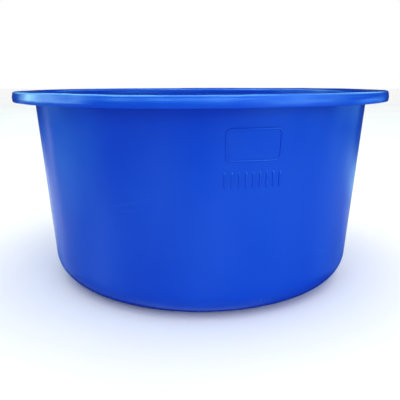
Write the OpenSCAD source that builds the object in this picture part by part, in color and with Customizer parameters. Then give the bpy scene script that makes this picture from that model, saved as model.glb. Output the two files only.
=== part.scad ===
// Round livestock water trough: one moulded polyethylene tub, open at the top.
// The rim is a flat flange all round with a turned-down lip; the wall tapers to a rounded foot.
// The tub is one moulding. Its nodes are the regions of that moulding, which meet face to face,
// and the raised lines on its wall.
// Frame: +Z up, -Y the front, origin at the centre of the underside, millimetres.

/* [Tub] */
// Outer diameter of the rim
rim_d = 714; // [690:1:820]
// Height from the ground to the top of the rim
height = 360; // [250:1:500]
// Outer diameter of the wall level with the bottom of the lip
wall_top_d = 637; // [610:1:640]
// Outer diameter of the wall carried straight down to the ground
wall_foot_d = 587; // [540:1:600]
// Thickness of wall, floor, flange and lip
wall_t = 5; // [4:0.5:7]
// Outside radius of the rounded foot
foot_r = 54; // [20:1:60]

/* [Rim] */
// Height of the lip's outer band
band_h = 19; // [16:1:40]
// Slope of the band, inwards going down
band_draft = 3; // [0:0.5:8]
// Rounding where the inner wall turns out into the flange
mouth_r = 7; // [3:0.5:8]
// Rounding along the rim's outer top edge
rim_edge_r = 4; // [1:0.5:4.5]
// Fillet between the wall and the underside of the flange
under_r = 5; // [4:0.5:7]
// Fillet inside the turned-down lip
lip_fillet_r = 3; // [1:0.5:5]
// Rounding of the two corners of the lip's lower edge
lip_edge_r = 1; // [0.5:0.5:1.5]

/* [Floor] */
// Diameter of the raised centre of the floor
panel_d = 400; // [200:1:410]
// How far the centre of the floor is raised
panel_rise = 4; // [1:0.5:8]
// Width of the slope around the raised centre
panel_slope = 14; // [6:1:40]

/* [Blank marking panel] */
// Angle from the front, towards +X
mark_angle = 14.5; // [0:0.5:90]
// Width of the raised frame
mark_w = 88; // [60:1:120]
// Height of the raised frame
mark_h = 50; // [30:1:70]
// Height of the frame's centre above the ground, as a share of the tub's height
mark_level = 0.795; // [0.6:0.005:0.8]
// Width of a raised line
mark_line = 3; // [2:0.5:4]
// How far the lines stand proud of the wall
mark_relief = 1.2; // [0.5:0.1:2]
// Gap between the frame and the row of bars
bar_gap = 14; // [6:1:30]
// Number of plain bars below the frame
bar_count = 9; // [3:1:12]
// Height of a bar
bar_h = 26; // [10:1:30]

/* [Hidden] */
plastic = "#1e50d2";

rim_r = rim_d / 2;
lip_z = height - band_h;
under_z = height - wall_t;
neck_z = under_z - under_r;
taper = atan((wall_top_d - wall_foot_d) / 2 / lip_z);
foot_c = wall_r(foot_r) - foot_r / cos(taper);
lip_c = band_r(under_z - lip_fillet_r) - (wall_t + lip_fillet_r) / cos(band_draft);
panel_r = panel_d / 2;
mark_z = height * mark_level;
mark_corner_r = 9;
bar_z = mark_z - mark_h / 2 - bar_gap - bar_h / 2;
bar_pitch = mark_w / (bar_count - 1);

// Steps in each rounded stretch of a section
arc_steps = 10;

// Radius at height z of the wall's outside, the wall's inside and the lip's outer band.
function wall_r(z) = wall_foot_d / 2 + z * tan(taper);
function inner_r(z) = wall_r(z) - wall_t / cos(taper);
function band_r(z) = rim_r - (height - z) * tan(band_draft);

// Points along an arc about [x, z], from angle a to angle b.
function arc(x, z, r, a, b) = [
    for (i = [0 : arc_steps])
        let (t = a + (b - a) * i / arc_steps)
        [x + r * cos(t), z + r * sin(t)]
];

// A section drawn as [radius, height] points and turned about the tub's axis.
module turned(section) {
    color(plastic)
        rotate_extrude($fn = 180)
            polygon(section);
}

// Flat floor with a raised centre, so that the tub stands on a ring.
module tub_floor() {
    underside = [[0, panel_rise], [panel_r - panel_slope, panel_rise], [panel_r, 0], [foot_c, 0]];
    top = [[foot_c, wall_t], [panel_r, wall_t], [panel_r - panel_slope, wall_t + panel_rise]];
    turned(concat(underside, top, [[0, wall_t + panel_rise]]));
}

// Rounded corner between the floor and the wall.
module rounded_foot() {
    turned(concat(
        arc(foot_c, foot_r, foot_r, -90, -taper),
        arc(foot_c, foot_r, foot_r - wall_t, -taper, -90)
    ));
}

// Plain tapered wall, from the rounded foot up to the neck under the flange.
module side_wall() {
    low_z = foot_r - foot_r * sin(taper);
    low_inner_z = foot_r - (foot_r - wall_t) * sin(taper);
    turned([
        [wall_r(low_z), low_z],
        [wall_r(neck_z), neck_z],
        [inner_r(neck_z), neck_z],
        [inner_r(low_inner_z), low_inner_z]
    ]);
}

// Flat flange with a rounded mouth, a fillet under it, and a lip turned down from its outer edge.
module rim() {
    mouth_z = height - mouth_r;
    low_z = lip_z + lip_edge_r;
    edge_z = height - rim_edge_r;
    edge_in = lip_edge_r / cos(band_draft);
    turned(concat(
        [[wall_r(neck_z), neck_z]],
        arc(wall_r(neck_z) + under_r / cos(taper), neck_z, under_r, 180 - taper, 90),
        arc(lip_c, under_z - lip_fillet_r, lip_fillet_r, 90, -band_draft),
        arc(band_r(low_z) - wall_t / cos(band_draft) + edge_in, low_z, lip_edge_r, -180 - band_draft, -90),
        arc(band_r(low_z) - edge_in, low_z, lip_edge_r, -90, -band_draft),
        arc(band_r(edge_z) - rim_edge_r / cos(band_draft), edge_z, rim_edge_r, -band_draft, 90),
        arc(inner_r(mouth_z) + mouth_r / cos(taper), mouth_z, mouth_r, 90, 180 - taper),
        [[inner_r(neck_z), neck_z]]
    ));
}

module rounded_rect(w, h, r) {
    x = w / 2 - r;
    y = h / 2 - r;
    polygon(concat(
        arc(x, y, r, 0, 90),
        arc(-x, y, r, 90, 180),
        arc(-x, -y, r, 180, 270),
        arc(x, -y, r, 270, 360)
    ));
}

// An empty frame over a row of plain upright bars, drawn flat.
module mark_outline() {
    translate([0, mark_z])
        difference() {
            rounded_rect(mark_w, mark_h, mark_corner_r);
            rounded_rect(mark_w - 2 * mark_line, mark_h - 2 * mark_line, mark_corner_r - mark_line);
        }
    for (i = [0 : bar_count - 1])
        translate([(i - (bar_count - 1) / 2) * bar_pitch, bar_z])
            square([mark_line, bar_h], center = true);
}

// Raised lines on the wall: the outline's prism cut by a skin that lies on the wall.
module marking_panel() {
    low = bar_z - bar_h;
    high = mark_z + mark_h;
    color(plastic)
        intersection() {
            rotate_extrude($fn = 180)
                polygon([
                    [wall_r(low), low],
                    [wall_r(low) + mark_relief, low],
                    [wall_r(high) + mark_relief, high],
                    [wall_r(high), high]
                ]);
            rotate([90, 0, mark_angle])
                linear_extrude(height = rim_r)
                    mark_outline();
        }
}

tub_floor();
rounded_foot();
side_wall();
rim();
marking_panel();
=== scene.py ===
"""Looks of the round livestock water trough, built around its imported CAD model.

Metres, +Z up, -Y the front. Angles round the tub are measured from the front towards +X.
"""

import math

import bmesh
import bpy
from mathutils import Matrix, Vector, noise


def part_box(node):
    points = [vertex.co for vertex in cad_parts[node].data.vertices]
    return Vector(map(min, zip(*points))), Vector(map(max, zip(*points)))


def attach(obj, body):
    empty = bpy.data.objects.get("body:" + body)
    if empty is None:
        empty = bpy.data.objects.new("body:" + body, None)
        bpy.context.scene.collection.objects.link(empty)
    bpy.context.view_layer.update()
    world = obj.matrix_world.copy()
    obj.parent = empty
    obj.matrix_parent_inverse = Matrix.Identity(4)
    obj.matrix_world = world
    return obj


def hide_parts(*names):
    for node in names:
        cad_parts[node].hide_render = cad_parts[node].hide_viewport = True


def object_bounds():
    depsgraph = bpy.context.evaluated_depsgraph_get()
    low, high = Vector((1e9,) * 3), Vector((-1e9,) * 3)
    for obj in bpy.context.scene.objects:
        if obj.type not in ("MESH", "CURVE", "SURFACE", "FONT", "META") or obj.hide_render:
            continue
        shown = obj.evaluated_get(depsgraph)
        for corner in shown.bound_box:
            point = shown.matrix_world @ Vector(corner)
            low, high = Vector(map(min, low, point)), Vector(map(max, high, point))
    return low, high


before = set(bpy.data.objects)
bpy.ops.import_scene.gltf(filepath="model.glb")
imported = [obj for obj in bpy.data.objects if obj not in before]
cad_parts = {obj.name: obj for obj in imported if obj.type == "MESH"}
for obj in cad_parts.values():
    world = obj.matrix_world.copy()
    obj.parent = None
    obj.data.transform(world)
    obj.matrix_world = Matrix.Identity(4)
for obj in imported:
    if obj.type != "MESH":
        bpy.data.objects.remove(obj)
cad_low, cad_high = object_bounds()

# ---------------------------------------------------------------- sizes
# From the frame.
RIM_R = cad_high.x
HEIGHT = cad_high.z
NECK_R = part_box("side_wall")[1].x
NECK_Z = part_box("side_wall")[1].z
FLOOR_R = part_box("tub_floor")[1].x
LIP_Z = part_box("rim")[0].z

# The tub's section: thickness, slopes of the wall and of the lip's band, roundings, and the raised floor.
WALL_T = 0.005
TAPER = math.radians(4.193)
DRAFT = math.radians(3.0)
FOOT_R = 0.054
MOUTH_R = 0.007
EDGE_R = 0.004
UNDER_R = 0.005
LIP_FILLET_R = 0.003
LIP_EDGE_R = 0.001
PANEL_R = 0.200
PANEL_RISE = 0.004
PANEL_SLOPE = 0.014

# The lip's band as moulded: its bulge halfway up, and how far its lower edge stands out all round.
BAND_CROWN = 0.0008
BAND_SPREAD = 0.0011

# The blank marking panel.
MARK_ANGLE = math.radians(14.5)
MARK_W = 0.088
MARK_H = 0.050
MARK_Z = 0.2862
MARK_CORNER_R = 0.009
MARK_LINE = 0.003
MARK_RELIEF = 0.0012
BAR_COUNT = 9
BAR_H = 0.026
BAR_GAP = 0.014
BAR_Z = MARK_Z - MARK_H / 2 - BAR_GAP - BAR_H / 2

# Fineness of the meshes: steps in metres, and how many pieces a stretch gets.
COLUMNS = 480
STRAIGHT_STEP = 0.007
RIM_STEP = 0.002
ARC_STEP = 0.0016
ARC_LEAST = 6
ARC_MOST = 22
BAND_PIECES = 12
SLOPE_PIECES = 10
RIDGE_STEP = 0.004
CORNER_PIECES = 8
BAR_PIECES = 14

# Closer than this, two points are one, and a point is on the axis.
SAME_POINT = 1e-7
ON_AXIS = 1e-6


def wall_r(z):
    """Radius of the wall's outside at height z."""
    return NECK_R + (z - NECK_Z) * math.tan(TAPER)


def inner_r(z):
    """Radius of the wall's inside at height z."""
    return wall_r(z) - WALL_T / math.cos(TAPER)


def band_r(z):
    """Radius of the lip's outer band at height z, on its plain slope."""
    return RIM_R - (HEIGHT - z) * math.tan(DRAFT)


def share(value, start, end):
    """How far value has come from start to end, held between 0 and 1."""
    return max(0.0, min(1.0, (value - start) / (end - start)))


def spread(z):
    """How far the lip stands out from its plain slope at height z."""
    return BAND_SPREAD * share(z, HEIGHT - EDGE_R, LIP_Z)


def between(start, end, t):
    """The point a share t of the way from start to end."""
    return (start[0] + (end[0] - start[0]) * t, start[1] + (end[1] - start[1]) * t)


# ---------------------------------------------------------------- section of the tub
def arc(x, z, radius, start, end):
    """Points along an arc about (x, z), from angle start to angle end in degrees."""
    sweep = math.radians(end - start)
    count = max(ARC_LEAST, math.ceil(abs(sweep) * radius / ARC_STEP))
    count = min(count, ARC_MOST)
    angles = [math.radians(start) + sweep * i / count for i in range(count + 1)]
    return [(x + radius * math.cos(a), z + radius * math.sin(a)) for a in angles]


def soft_step(x0, z0, x1, z1):
    """Points of a smooth S-shaped rise from (x0, z0) to (x1, z1)."""
    points = []
    for i in range(SLOPE_PIECES + 1):
        t = i / SLOPE_PIECES
        ease = t * t * (3 - 2 * t)
        points.append((x0 + (x1 - x0) * t, z0 + (z1 - z0) * ease))
    return points


def fill_straights(points):
    """The same line without repeated points, and with extra ones on long stretches, closer on the rim."""
    out = [points[0]]
    for a, b in zip(points, points[1:]):
        length = math.dist(a, b)
        if length < SAME_POINT:
            continue
        on_rim = min(a[0], b[0]) > NECK_R - WALL_T and min(a[1], b[1]) > LIP_Z
        pieces = max(1, math.ceil(length / (RIM_STEP if on_rim else STRAIGHT_STEP)))
        out += [between(a, b, i / pieces) for i in range(1, pieces + 1)]
    return out


def band_line(low_z, high_z):
    """The lip's outer face from low_z to high_z: slightly crowned, and standing out a little lower down."""
    points = []
    for i in range(1, BAND_PIECES):
        t = i / BAND_PIECES
        z = low_z + (high_z - low_z) * t
        points.append((band_r(z) + spread(z) + BAND_CROWN * math.sin(math.pi * t), z))
    return points


def tub_section():
    """The section from the axis, out under the floor, up the outside, over the rim and down the inside."""
    taper = math.degrees(TAPER)
    draft = math.degrees(DRAFT)
    under_z = HEIGHT - WALL_T
    mouth_z = HEIGHT - MOUTH_R
    edge_z = HEIGHT - EDGE_R
    lip_z = LIP_Z + LIP_EDGE_R
    lip_in = band_r(lip_z) - (WALL_T - LIP_EDGE_R) / math.cos(DRAFT)
    lip_out = band_r(lip_z) + spread(lip_z) - LIP_EDGE_R / math.cos(DRAFT)
    lip_c = band_r(under_z - LIP_FILLET_R) - (WALL_T + LIP_FILLET_R) / math.cos(DRAFT)
    slope_in = PANEL_R - PANEL_SLOPE
    points = [(0.0, PANEL_RISE)]
    points += soft_step(slope_in, PANEL_RISE, PANEL_R, 0.0)
    points += arc(FLOOR_R, FOOT_R, FOOT_R, -90, -taper)
    points += arc(wall_r(NECK_Z) + UNDER_R / math.cos(TAPER), NECK_Z, UNDER_R, 180 - taper, 90)
    points += arc(lip_c, under_z - LIP_FILLET_R, LIP_FILLET_R, 90, -draft)
    points += arc(lip_in, lip_z, LIP_EDGE_R, -180 - draft, -90)
    points += arc(lip_out, lip_z, LIP_EDGE_R, -90, -draft)
    points += band_line(lip_z, edge_z)
    points += arc(band_r(edge_z) - EDGE_R / math.cos(DRAFT), edge_z, EDGE_R, -draft, 90)
    points += arc(inner_r(mouth_z) + MOUTH_R / math.cos(TAPER), mouth_z, MOUTH_R, 90, 180 - taper)
    points += arc(FLOOR_R, FOOT_R, FOOT_R - WALL_T, -taper, -90)
    points += soft_step(PANEL_R, WALL_T, slope_in, WALL_T + PANEL_RISE)
    points += [(0.0, WALL_T + PANEL_RISE)]
    return fill_straights(points)


# ---------------------------------------------------------------- small unevenness of a moulded tub
# Waves that go in and out (wall, band) or up and down (flange, mouth): height, length, pattern number.
WALL_WAVE = (0.0009, 0.16, 1)
WALL_RIPPLE = (0.00022, 0.05, 2)
BAND_WAVE = (0.0006, 0.09, 3)
BAND_RIPPLE = (0.0003, 0.030, 4)
FLANGE_WAVE = (0.0007, 0.15, 5)
FLANGE_RIPPLE = (0.0003, 0.04, 6)
MOUTH_RIPPLE = (0.0001, 0.02, 7)

# How far apart in the noise two neighbouring pattern numbers lie.
PATTERN_SHIFT = (7.3, -3.1, 1.7)

# Steady departures: the top out of round, and the rim's tilt to one side.
OVAL = 0.0011
OVAL_TURN = 0.6
RIM_TILT = 0.0010

# The lip's lower edge rises at the two sides and stands out at the front, where the flange dips.
SIDE_RISE = 0.0020
FRONT_SPLAY = 0.0015
FRONT_DIP = 0.0006

# The fine ripple is full from this share of the height up, and the rim's waves from this far out of the neck.
RIPPLE_FROM = 0.25
RIM_BLEND = 0.030

# The middle of the floor, inside this radius, keeps its place.
HUB_R = 0.02


def wave(kind, angle, level=0.0):
    """The smooth wave's height at that angle and level. It closes round the tub."""
    height, length, pattern = kind
    x = math.cos(angle) * RIM_R / length
    y = math.sin(angle) * RIM_R / length
    dx, dy, dz = (pattern * step for step in PATTERN_SHIFT)
    return height * noise.noise(Vector((x + dx, y + dy, level / length + dz)))


def uneven(r, z, angle):
    """The moulded point (r, z) at that angle with the tub's slight warping: its x, y and z."""
    up = z / HEIGHT
    mouth = share(z, NECK_Z, HEIGHT)
    outer = share(r, NECK_R, NECK_R + RIM_BLEND)
    hang = share(z, HEIGHT - WALL_T, LIP_Z)
    front = max(0.0, math.cos(angle)) ** 2
    side = abs(math.sin(angle)) ** 6

    swell = up * (OVAL * math.cos(2 * angle + OVAL_TURN) + wave(WALL_WAVE, angle, z))
    swell += min(1.0, up / RIPPLE_FROM) * wave(WALL_RIPPLE, angle, z)
    swell += outer * (wave(BAND_WAVE, angle) + wave(BAND_RIPPLE, angle, z))
    swell += outer * hang * FRONT_SPLAY * front

    lift = outer * (wave(FLANGE_WAVE, angle) + wave(FLANGE_RIPPLE, angle) + RIM_TILT * math.sin(angle))
    lift += mouth * wave(MOUTH_RIPPLE, angle)
    lift += outer * (hang * SIDE_RISE * side - (1.0 - hang) * FRONT_DIP * front)

    reach = r + swell if r > HUB_R else r
    return reach * math.sin(angle), -reach * math.cos(angle), z + lift


# ---------------------------------------------------------------- meshes
def mesh_object(name, bm):
    """An object in the scene, made from a bmesh, which is freed."""
    mesh = bpy.data.meshes.new(name)
    bm.to_mesh(mesh)
    bm.free()
    obj = bpy.data.objects.new(name, mesh)
    bpy.context.scene.collection.objects.link(obj)
    return obj


def make_smooth(bm):
    """Turns all faces outwards and shades them smooth."""
    bmesh.ops.recalc_face_normals(bm, faces=bm.faces)
    for face in bm.faces:
        face.smooth = True


def revolve(name, section):
    """A closed mesh: the section turned round the axis, with one vertex where each end lies on the axis."""
    bm = bmesh.new()
    rings = []
    for r, z in section:
        if r < ON_AXIS:
            rings.append([bm.verts.new((0.0, 0.0, z))])
        else:
            angles = [2 * math.pi * c / COLUMNS for c in range(COLUMNS)]
            rings.append([bm.verts.new(uneven(r, z, angle)) for angle in angles])
    for low, high in zip(rings, rings[1:]):
        for c in range(COLUMNS):
            d = (c + 1) % COLUMNS
            corners = (low[c % len(low)], low[d % len(low)], high[d % len(high)], high[c % len(high)])
            bm.faces.new(list(dict.fromkeys(corners)))
    make_smooth(bm)
    return mesh_object(name, bm)


# ---------------------------------------------------------------- blank marking panel
# A ridge's section: shares of half its width to either side, and of its relief above the wall.
RIDGE_SECTION = (
    (-1.1, -0.3), (-1.0, 0.15), (-0.8, 0.85), (-0.55, 1.0),
    (0.55, 1.0), (0.8, 0.85), (1.0, 0.15), (1.1, -0.3),
)

# An open ridge's ends: how many rows they taper over, and the least width and relief as shares.
TIP_ROWS = 2
TIP_WIDTH = 0.45
TIP_RELIEF = 0.02


def on_wall(across, z, proud):
    """A point on the wall, across metres round from the middle of the mark, standing proud of the surface."""
    angle = MARK_ANGLE + across / wall_r(MARK_Z)
    return Vector(uneven(wall_r(z) + proud, z, angle))


def rounded_path(width, height, radius, z):
    """The middle line of a frame with rounded corners, as (across, z) points in order."""
    corners = []
    x = width / 2 - radius
    y = height / 2 - radius
    for cx, cy, start in ((x, y, 0), (-x, y, 90), (-x, -y, 180), (x, -y, 270)):
        for i in range(CORNER_PIECES + 1):
            a = math.radians(start + 90 * i / CORNER_PIECES)
            corners.append((cx + radius * math.cos(a), z + cy + radius * math.sin(a)))
    dense = []
    for a, b in zip(corners, corners[1:] + corners[:1]):
        pieces = max(1, math.ceil(math.dist(a, b) / RIDGE_STEP))
        dense += [between(a, b, i / pieces) for i in range(pieces)]
    return dense


def ridge_row(bm, place, side, end):
    """One row of a ridge's vertices at place, laid out along side. end runs from near 0 at a tip to 1."""
    row = []
    for s, h in RIDGE_SECTION:
        half = MARK_LINE / 2 * s * (TIP_WIDTH + (1 - TIP_WIDTH) * end)
        proud = MARK_RELIEF * (h if h < 0 else h * end)
        row.append(bm.verts.new(on_wall(place[0] + side[0] * half, place[1] + side[1] * half, proud)))
    return row


def add_ridge(bm, path, closed):
    """A low rounded ridge along path, its foot just inside the wall."""
    rows = []
    last = len(path) - 1
    for i, place in enumerate(path):
        before = path[i - 1] if closed or i > 0 else place
        after = path[(i + 1) % len(path)] if closed or i < last else place
        dx, dz = after[0] - before[0], after[1] - before[1]
        length = math.hypot(dx, dz)
        end = 1.0 if closed else min(1.0, min(i, last - i) / TIP_ROWS + TIP_RELIEF)
        rows.append(ridge_row(bm, place, (-dz / length, dx / length), end))
    pairs = list(zip(rows, rows[1:]))
    if closed:
        pairs.append((rows[-1], rows[0]))
    for a, b in pairs:
        for j in range(len(RIDGE_SECTION) - 1):
            bm.faces.new((a[j], a[j + 1], b[j + 1], b[j]))
        bm.faces.new((a[-1], a[0], b[0], b[-1]))
    if not closed:
        bm.faces.new(rows[0])
        bm.faces.new(rows[-1])


def make_marking():
    """An empty frame over a row of plain upright bars, raised on the wall."""
    bm = bmesh.new()
    corner_r = MARK_CORNER_R - MARK_LINE / 2
    add_ridge(bm, rounded_path(MARK_W - MARK_LINE, MARK_H - MARK_LINE, corner_r, MARK_Z), True)
    low = BAR_Z - BAR_H / 2
    for i in range(BAR_COUNT):
        x = (i - (BAR_COUNT - 1) / 2) * MARK_W / (BAR_COUNT - 1)
        add_ridge(bm, [(x, low + BAR_H * k / BAR_PIECES) for k in range(BAR_PIECES + 1)], False)
    make_smooth(bm)
    return mesh_object("blank_marking", bm)


# ---------------------------------------------------------------- materials
class Nodes:
    """Short names for building a material's nodes."""

    def __init__(self, name):
        self.material = bpy.data.materials.new(name)
        self.material.use_nodes = True
        self.tree = self.material.node_tree
        self.tree.nodes.clear()

    def add(self, kind, settings=None, **inputs):
        """A new node with these settings, and with inputs whose names have _ for a space."""
        node = self.tree.nodes.new(kind)
        for key, value in (settings or {}).items():
            setattr(node, key, value)
        for key, value in inputs.items():
            self.put(node, key.replace("_", " "), value)
        return node

    def put(self, node, socket, value):
        """Links value to the node's input when it is another node's output, and otherwise sets it there."""
        target = node.inputs[socket]
        if isinstance(value, bpy.types.NodeSocket):
            self.tree.links.new(value, target)
        else:
            target.default_value = value

    def math(self, operation, a, b=0.0, clamp=False):
        """The result of arithmetic on a and b, either of which may be a number or an output."""
        node = self.add("ShaderNodeMath", {"operation": operation, "use_clamp": clamp})
        self.put(node, 0, a)
        self.put(node, 1, b)
        return node.outputs[0]

    def product(self, first, *others):
        """All the values multiplied together."""
        for other in others:
            first = self.math("MULTIPLY", first, other)
        return first

    def vector(self, operation, a, b):
        """Vector arithmetic: a number for a dot product or a distance, and otherwise a vector."""
        node = self.add("ShaderNodeVectorMath", {"operation": operation})
        self.put(node, 0, a)
        self.put(node, 1, b)
        return node.outputs["Value" if operation in ("DOT_PRODUCT", "DISTANCE") else "Vector"]

    def split(self, vector):
        """The vector's X, Y and Z."""
        return self.add("ShaderNodeSeparateXYZ", Vector=vector).outputs

    def place(self):
        """Where the shaded point lies on its object, in metres."""
        return self.add("ShaderNodeTexCoord").outputs["Object"]

    def angle(self, x, y):
        """The angle round the axis in radians, from the front towards +X."""
        return self.math("ARCTAN2", x, self.math("MULTIPLY", y, -1.0))

    def ramp(self, value, low, high, out_low=0.0, out_high=1.0):
        """A smooth change from out_low at low to out_high at high, and level beyond them."""
        node = self.add("ShaderNodeMapRange", {"clamp": True, "interpolation_type": "SMOOTHSTEP"})
        self.put(node, "Value", value)
        self.put(node, "From Min", low)
        self.put(node, "From Max", high)
        self.put(node, "To Min", out_low)
        self.put(node, "To Max", out_high)
        return node.outputs["Result"]

    def noise(self, vector, scale, detail=3.0, roughness=0.5, distortion=0.0):
        """Smooth 3-D noise, mostly between 0.3 and 0.7."""
        node = self.add("ShaderNodeTexNoise", {"noise_dimensions": "3D"}, Vector=vector, Scale=scale)
        self.put(node, "Detail", detail)
        self.put(node, "Roughness", roughness)
        self.put(node, "Distortion", distortion)
        return node.outputs["Fac"]

    def stretch(self, vector, scale):
        """The vector with each of its parts scaled."""
        node = self.add("ShaderNodeMapping", {"vector_type": "POINT"}, Vector=vector, Scale=scale)
        return node.outputs["Vector"]

    def blend(self, factor, a, b):
        """The colour a where factor is 0, and b where it is 1."""
        node = self.add("ShaderNodeMix", {"data_type": "RGBA", "blend_type": "MIX"})
        self.tree.links.new(factor, node.inputs["Factor"])
        for socket, value in ((node.inputs[6], a), (node.inputs[7], b)):
            if isinstance(value, bpy.types.NodeSocket):
                self.tree.links.new(value, socket)
            else:
                socket.default_value = value
        return node.outputs[2]

    def finish(self, shader):
        """Puts the shader on the surface and gives the finished material."""
        self.add("ShaderNodeOutputMaterial", Surface=shader)
        return self.material


BLUE = (0.0015, 0.060, 0.520, 1.0)
BLUE_DEEP = (0.0012, 0.053, 0.485, 1.0)
BLUE_SCUFF = (0.045, 0.15, 0.70, 1.0)

# How much of the scuffed colour shows on a scratch, on a worn edge and on the scuffs near the foot.
SCRATCH_SHOWS = 0.10
WORN_SHOWS = 0.30
RUB_SHOWS = 0.25

# The skin's roughness from and to, and the share of the marks' strength that is added to it.
ROUGH_LOW = 0.19
ROUGH_HIGH = 0.25
ROUGH_MARKS = 0.25

# Specular level of the wall's inside, and of everything else.
GLOSS_INSIDE = 0.2
GLOSS_OUTSIDE = 0.5

# The skin's fine relief in metres, its strength, and how much of it is peel, draw lines and scratches.
SKIN_RELIEF = 0.0004
SKIN_STRENGTH = 0.30
PEEL_SHARE = 0.5
DRAW_SHARE = 0.25
SCRATCH_SHARE = 0.25

# Scratches: angle from the front in degrees and height in metres at each end, then half-width in metres. Each
# one fades out at SCRATCH_FADE half-widths from its line.
SCRATCHES = (
    (-25.6, 0.188, -14.2, 0.204, 0.0007),
    (-24.0, 0.180, -17.5, 0.186, 0.0005),
    (38.0, 0.105, 47.0, 0.088, 0.0006),
    (-68.0, 0.130, -60.0, 0.152, 0.0007),
    (112.0, 0.240, 121.0, 0.214, 0.0006),
    (158.0, 0.120, 171.0, 0.131, 0.0007),
    (-128.0, 0.205, -117.0, 0.176, 0.0006),
)
SCRATCH_FADE = 2.2


def wrapped_place(n, place):
    """The place with the tub unrolled: X the way round, Y the distance from the axis, Z the height."""
    x, y, z = n.split(place)
    across = n.math("MULTIPLY", n.angle(x, y), RIM_R)
    from_axis = n.math("SQRT", n.math("ADD", n.math("MULTIPLY", x, x), n.math("MULTIPLY", y, y)))
    return n.add("ShaderNodeCombineXYZ", X=across, Y=from_axis, Z=z).outputs["Vector"]


def scratch_mask(n, wrapped):
    """1 on a scratch's line, 0 away from it, broken up along its length."""
    flat = n.vector("MULTIPLY", wrapped, (1.0, 0.0, 1.0))
    mask = 0.0
    for angle0, z0, angle1, z1, half in SCRATCHES:
        start = Vector((math.radians(angle0) * RIM_R, 0.0, z0))
        along = Vector((math.radians(angle1) * RIM_R, 0.0, z1)) - start
        offset = n.vector("SUBTRACT", flat, start)
        done = n.vector("DOT_PRODUCT", offset, along)
        done = n.math("MULTIPLY", done, 1 / along.length_squared, clamp=True)
        near = n.add("ShaderNodeVectorMath", {"operation": "SCALE"}, Scale=done)
        n.put(near, 0, along)
        apart = n.vector("DISTANCE", offset, near.outputs["Vector"])
        mask = n.math("MAXIMUM", mask, n.ramp(apart, half, half * SCRATCH_FADE, 1.0, 0.0))
    breaks = n.ramp(n.noise(flat, scale=60.0, detail=2.0), 0.30, 0.55, 0.25, 1.0)
    return n.product(mask, breaks)


def rub_mask(n, place, wrapped):
    """1 on the fine scuffs low on the wall, 0 between and above them."""
    low = n.ramp(n.split(place)[2], 0.02, 0.11, 1.0, 0.0)
    fine = n.noise(n.stretch(wrapped, (70.0, 70.0, 130.0)), scale=1.0, detail=4.0, roughness=0.65)
    areas = n.ramp(n.noise(place, scale=9.0, detail=2.0), 0.45, 0.65)
    return n.product(n.ramp(fine, 0.60, 0.72), n.product(low, areas))


def worn_mask(n, place, pointiness):
    """1 on the worn patches of edges that stand out, 0 elsewhere."""
    areas = n.ramp(n.noise(place, scale=40.0, detail=4.0, roughness=0.6), 0.42, 0.70)
    return n.product(n.ramp(pointiness, 0.54, 0.62), areas)


def skin_bump(n, place, wrapped, scratch):
    """The fine relief of the skin: a faint orange peel, upright draw lines, and the scratches."""
    peel = n.noise(place, scale=80.0, detail=1.0)
    draw = n.noise(n.stretch(wrapped, (190.0, 40.0, 5.0)), scale=1.0, detail=2.0)
    height = n.math("ADD", n.product(peel, PEEL_SHARE), n.product(draw, DRAW_SHARE))
    height = n.math("SUBTRACT", height, n.product(scratch, SCRATCH_SHARE))
    bump = n.add("ShaderNodeBump", Strength=SKIN_STRENGTH, Distance=SKIN_RELIEF, Height=height)
    return bump.outputs["Normal"]


def tub_plastic():
    """Glossy blue polyethylene: faint clouds, draw lines, scratches, scuffs low down, a duller inner wall."""
    n = Nodes("blue_polyethylene")
    place = n.place()
    wrapped = wrapped_place(n, place)
    surface = n.add("ShaderNodeNewGeometry")
    outward = n.math("DIVIDE", n.vector("DOT_PRODUCT", surface.outputs["Normal"], place), RIM_R)

    scratch = scratch_mask(n, wrapped)
    worn = worn_mask(n, place, surface.outputs["Pointiness"])
    rub = rub_mask(n, place, wrapped)
    marks = n.math("MAXIMUM", n.product(scratch, SCRATCH_SHOWS), n.product(worn, WORN_SHOWS))
    marks = n.math("MAXIMUM", marks, n.product(rub, RUB_SHOWS))

    cloud = n.noise(place, scale=4.0, distortion=0.4)
    colour = n.blend(n.ramp(cloud, 0.35, 0.65), BLUE_DEEP, BLUE)
    smear = n.stretch(wrapped, (6.0, 6.0, 10.0))
    smear = n.noise(smear, scale=1.3, detail=4.0, roughness=0.6, distortion=0.6)
    rough = n.ramp(smear, 0.30, 0.70, ROUGH_LOW, ROUGH_HIGH)

    shader = n.add("ShaderNodeBsdfPrincipled", IOR=1.5)
    n.put(shader, "Base Color", n.blend(marks, colour, BLUE_SCUFF))
    n.put(shader, "Roughness", n.math("ADD", rough, n.product(marks, ROUGH_MARKS)))
    n.put(shader, "Specular IOR Level", n.ramp(outward, -0.2, 0.0, GLOSS_INSIDE, GLOSS_OUTSIDE))
    n.put(shader, "Normal", skin_bump(n, place, wrapped, scratch))
    return n.finish(shader.outputs["BSDF"])


FLOOR_DARK = (0.91, 0.91, 0.91, 1.0)
FLOOR_LIGHT = (0.94, 0.94, 0.94, 1.0)


def floor_material():
    """Matt, nearly white, with hardly visible clouds."""
    n = Nodes("pale_floor")
    tone = n.noise(n.place(), scale=1.5)
    shader = n.add("ShaderNodeBsdfPrincipled", Roughness=0.85, Specular_IOR_Level=0.1)
    n.put(shader, "Base Color", n.blend(n.ramp(tone, 0.3, 0.7), FLOOR_DARK, FLOOR_LIGHT))
    return n.finish(shader.outputs["BSDF"])


# ---------------------------------------------------------------- the object
plastic = tub_plastic()

tub = revolve("tub_moulding", tub_section())
tub.data.materials.append(plastic)
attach(tub, "root")
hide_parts("tub_floor", "rounded_foot", "side_wall", "rim")

marking = make_marking()
marking.data.materials.append(plastic)
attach(marking, "root")
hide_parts("marking_panel")


# ---------------------------------------------------------------- floor and soft lights
FLOOR_SIZE = 30.0

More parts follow.
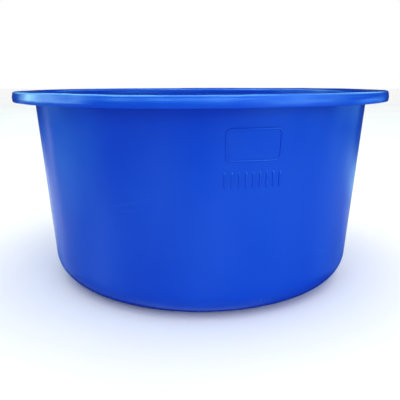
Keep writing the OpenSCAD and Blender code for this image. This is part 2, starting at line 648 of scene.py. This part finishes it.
# Softboxes: name, place, the point it faces, width and height, watts.
SOFTBOXES = (
    ("top_softbox", (0.3, -0.4, 2.6), (0, 0, 0.2), (2.4, 2.4), 17.5),
    ("key_softbox", (1.2, -2.4, 0.85), (0, 0, 0.25), (1.6, 1.2), 19.0),
)


def make_floor():
    """The studio floor. The gloss doesn't see it, because the surround has its own ground."""
    bm = bmesh.new()
    bmesh.ops.create_grid(bm, x_segments=2, y_segments=2, size=FLOOR_SIZE)
    floor = mesh_object("floor", bm)
    floor.data.materials.append(floor_material())
    floor.visible_glossy = False


def make_world():
    """Even white light from all round."""
    world = bpy.data.worlds.new("studio")
    bpy.context.scene.world = world
    world.use_nodes = True
    back = world.node_tree.nodes["Background"]
    back.inputs["Color"].default_value = (1.0, 1.0, 1.0, 1.0)
    back.inputs["Strength"].default_value = 1.0


def area_light(name, place, aim, size, power):
    """A soft rectangular light that neither the camera nor the gloss sees."""
    data = bpy.data.lights.new(name, "AREA")
    data.shape = "RECTANGLE"
    data.size, data.size_y = size
    data.energy = power
    light = bpy.data.objects.new(name, data)
    light.location = place
    light.rotation_euler = (Vector(aim) - Vector(place)).to_track_quat("-Z", "Y").to_euler()
    light.visible_camera = False
    light.visible_glossy = False
    bpy.context.scene.collection.objects.link(light)


# ---------------------------------------------------------------- what the gloss reflects
SURROUND_R = 9.0
SKY = (0.30, 0.75, 0.80, 1.0)
HAZE = (0.50, 1.0, 1.0, 1.0)
GROUND = (0.95, 1.0, 1.0, 1.0)
DEEP_SKY = (0.08, 0.30, 1.0, 1.0)

# Patches of glow: from and to azimuth and its blur, from and to elevation and its blur, all in degrees, then
# radiance and colour. Azimuth 0 is the front, and 90 is +X.
GLOW_PATCHES = (
    (-150, 80, 8, 24, 80, 20, 7.3, SKY),
    (80, 150, 8, 22, 80, 12, 4.5, SKY),
    (-80, 80, 8, 50, 86, 8, 4.0, HAZE),
    (-121, -66, 6, -1.0, 20, 1.5, 3.8, HAZE),
    (-66, 20, 10, -5, 12, 5, 0.4, HAZE),
    (35, 82, 12, -4, 20, 6, 2.4, HAZE),
    (95, 130, 8, -3, 6, 3, 1.5, SKY),
    (-127, -122, 2, -17, -3, 4, 0.8, GROUND),
    (-118, -75, 10, -16, -8, 3, 0.95, SKY),
    (-158, -132, 6, -16, -7, 3, 0.50, GROUND),
    (90, 158, 10, -12, -7.5, 1.5, 0.46, HAZE),
    (-165, -95, 10, -28, -3, 4, 0.45, DEEP_SKY),
    (90, 165, 10, -28, -3, 4, 0.30, DEEP_SKY),
    (95, 135, 8, -3, 9, 3, 0.7, DEEP_SKY),
)

# Shades on the ground, laid out in the same way, with the share of its light that is left.
GROUND_SHADES = (
    (-5, 7, 3, -19, -5, 4, 0.3),
    (-200, 200, 1, -95, -29, 5, 0.6),
    (30, 150, 20, -60, -19, 4, 0.65),
    (82, 150, 10, -60, -16, 3, 0.5),
    (-150, -95, 10, -60, -20, 3, 0.6),
    (-200, -138, 8, -60, -18, 4, 0.15),
    (138, 200, 8, -60, -18, 4, 0.15),
)


def patch_mask(n, azimuth, elevation, edges):
    """1 inside the patch with these edges, 0 outside it, with a blur between."""
    az_low, az_high, az_blur, el_low, el_high, el_blur = edges
    inside = n.ramp(azimuth, az_low - az_blur, az_low + az_blur)
    inside = n.product(inside, n.ramp(azimuth, az_high - az_blur, az_high + az_blur, 1.0, 0.0))
    inside = n.product(inside, n.ramp(elevation, el_low - el_blur, el_low + el_blur))
    return n.product(inside, n.ramp(elevation, el_high - el_blur, el_high + el_blur, 1.0, 0.0))


def surround_material():
    """A patchy ground that darkens towards the horizon, and patches of sky and haze."""
    n = Nodes("surround_glow")
    place = n.vector("MULTIPLY", n.place(), (1 / SURROUND_R,) * 3)
    x, y, z = n.split(place)
    azimuth = n.math("DEGREES", n.angle(x, y))
    elevation = n.math("DEGREES", n.math("ARCSINE", z))

    ground = n.ramp(n.noise(place, scale=2.2), 0.35, 0.65, 0.75, 1.25)
    ground = n.product(ground, n.ramp(elevation, -22, -4, 0.60, 0.05))
    for *edges, left in GROUND_SHADES:
        ground = n.product(ground, n.ramp(patch_mask(n, azimuth, elevation, edges), 0.0, 1.0, 1.0, left))
    total = n.add("ShaderNodeEmission", Color=GROUND, Strength=ground).outputs["Emission"]

    mottle = n.ramp(n.noise(place, scale=3.5, detail=2.0), 0.35, 0.65, 0.45, 1.5)
    for *edges, radiance, colour in GLOW_PATCHES:
        strength = n.product(patch_mask(n, azimuth, elevation, edges), mottle, radiance)
        glow = n.add("ShaderNodeEmission", Color=colour, Strength=strength)
        both = n.add("ShaderNodeAddShader")
        n.put(both, 0, total)
        n.put(both, 1, glow.outputs["Emission"])
        total = both.outputs["Shader"]
    return n.finish(total)


def make_surround():
    """A sphere round the whole set that only the gloss sees."""
    bm = bmesh.new()
    bmesh.ops.create_icosphere(bm, subdivisions=4, radius=SURROUND_R)
    surround = mesh_object("surround", bm)
    surround.data.materials.append(surround_material())
    surround.visible_camera = False
    surround.visible_diffuse = False
    surround.visible_transmission = False
    surround.visible_shadow = False


# ---------------------------------------------------------------- camera and display tone
# The camera's distance in front of the axis, its height above the rim, its turns, and its lens and sensor in
# millimetres.
CAMERA_BACK = 1.0235
CAMERA_OVER_RIM = 0.0147
CAMERA_PITCH = math.radians(13.32)
CAMERA_YAW = math.radians(0.06)
CAMERA_LENS = 44.72
CAMERA_SENSOR = 36.0

# Display tone as (scene brightness, shown brightness): a camera's gentle S-curve.
TONE = ((0.0, 0.0), (0.034, 0.016), (0.10, 0.078), (0.35, 0.33), (0.65, 0.63), (1.0, 1.0))
TONE_CURVE = 3  # the curve that takes all three colours together


def make_camera():
    """The photograph's view, a little above the rim and looking slightly down."""
    data = bpy.data.cameras.new("camera")
    data.sensor_width = CAMERA_SENSOR
    data.lens = CAMERA_LENS
    camera = bpy.data.objects.new("camera", data)
    camera.location = (0.0, -CAMERA_BACK, HEIGHT + CAMERA_OVER_RIM)
    camera.rotation_euler = (math.pi / 2 - CAMERA_PITCH, 0.0, CAMERA_YAW)
    bpy.context.scene.collection.objects.link(camera)
    bpy.context.scene.camera = camera


def set_tone():
    """Shows the picture through the tone curve."""
    view = bpy.context.scene.view_settings
    view.view_transform = "Standard"
    view.use_curve_mapping = True
    curve = view.curve_mapping.curves[TONE_CURVE]
    while len(curve.points) < len(TONE):
        curve.points.new(0.5, 0.5)
    for point, (x, y) in zip(curve.points, TONE):
        point.location = (x, y)
        point.handle_type = "AUTO_CLAMPED"
    view.curve_mapping.update()


make_floor()
make_world()
for softbox in SOFTBOXES:
    area_light(*softbox)
make_surround()
make_camera()
set_tone()
